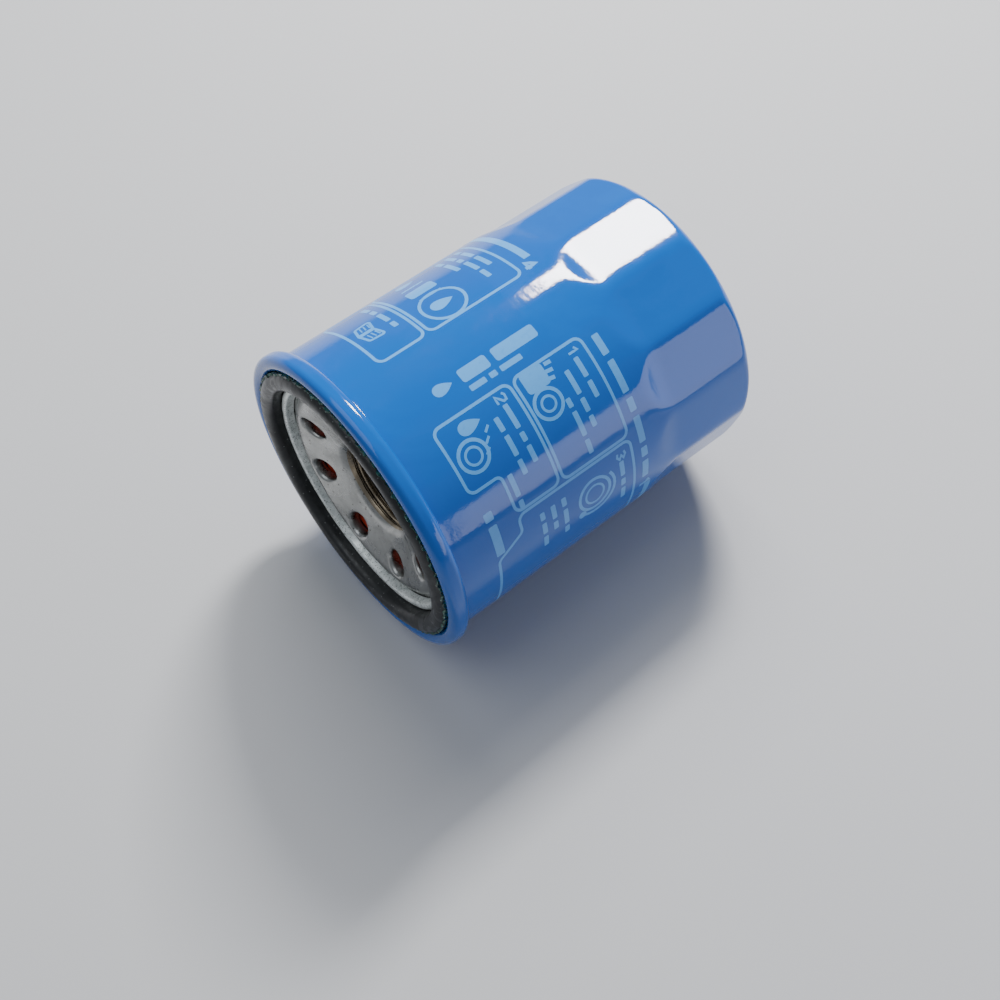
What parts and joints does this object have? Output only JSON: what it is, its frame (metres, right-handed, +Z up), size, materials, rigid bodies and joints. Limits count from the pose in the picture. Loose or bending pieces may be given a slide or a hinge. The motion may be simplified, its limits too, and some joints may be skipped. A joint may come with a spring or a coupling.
{
  "type": "oil filter",
  "caption": "Spin-on engine oil filter: blue steel can with wrench flats and a rolled seam, rubber gasket, threaded base plate with inlet holes, and a pleated element with a bypass valve.",
  "frame": {"origin": "centre of the gasket's sealing face, on the filter's axis", "axes": "+X runs along the axis from the engine to the closed end, +Z is up as the filter lies on its side, +Y completes the right-handed set"},
  "size_m": [0.0849, 0.0692, 0.0692],
  "materials": {
    "blue_enamel": "gloss enamel on deep-drawn steel",
    "zinc_lid": "zinc-plated, slightly whitened",
    "gasket_rubber": "moulded nitrile rubber with a grey bloom",
    "sealing_compound": "dark green sealing compound, speckled",
    "base_plate_steel": "satin pressed steel, scuffed",
    "red_silicone": "moulded silicone",
    "tinned_steel": "bright pressed steel",
    "potting": "cured plastisol adhesive",
    "filter_paper": "resin-treated filter paper",
    "seal_rubber": "moulded nitrile rubber",
    "zinc_rivet": "zinc-plated rivet",
    "spring_steel": "drawn spring wire",
    "spring_strip": "blued spring strip"
  },
  "bodies": {
    "filter": {"can_shell": "blue_enamel", "seaming_lid": "zinc_lid", "sealing_gasket": "gasket_rubber", "seam_compound": "sealing_compound", "base_plate": "base_plate_steel", "anti_drain_valve": "red_silicone", "bottom_end_cap": "tinned_steel", "top_end_cap": "tinned_steel", "bottom_potting": "potting", "top_potting": "potting", "centre_tube": "tinned_steel", "pleated_media": "filter_paper", "media_seam_clip": "tinned_steel", "bypass_cage": "tinned_steel", "bypass_spring": "spring_steel", "hold_down_spring": "spring_strip"},
    "bypass_valve": {"bypass_disc": "tinned_steel", "bypass_seal": "seal_rubber", "bypass_stem": "zinc_rivet", "stem_retainer": "zinc_rivet"}
  },
  "joints": [
    {"name": "bypass_lift", "type": "slide", "parent": "filter", "child": "bypass_valve", "axis": [-1, 0, 0], "range_m": [0, 0.0035], "stiffness_N_per_m": 2800, "springref_m": -0.0035, "deforming": ["bypass_spring"]}
  ]
}
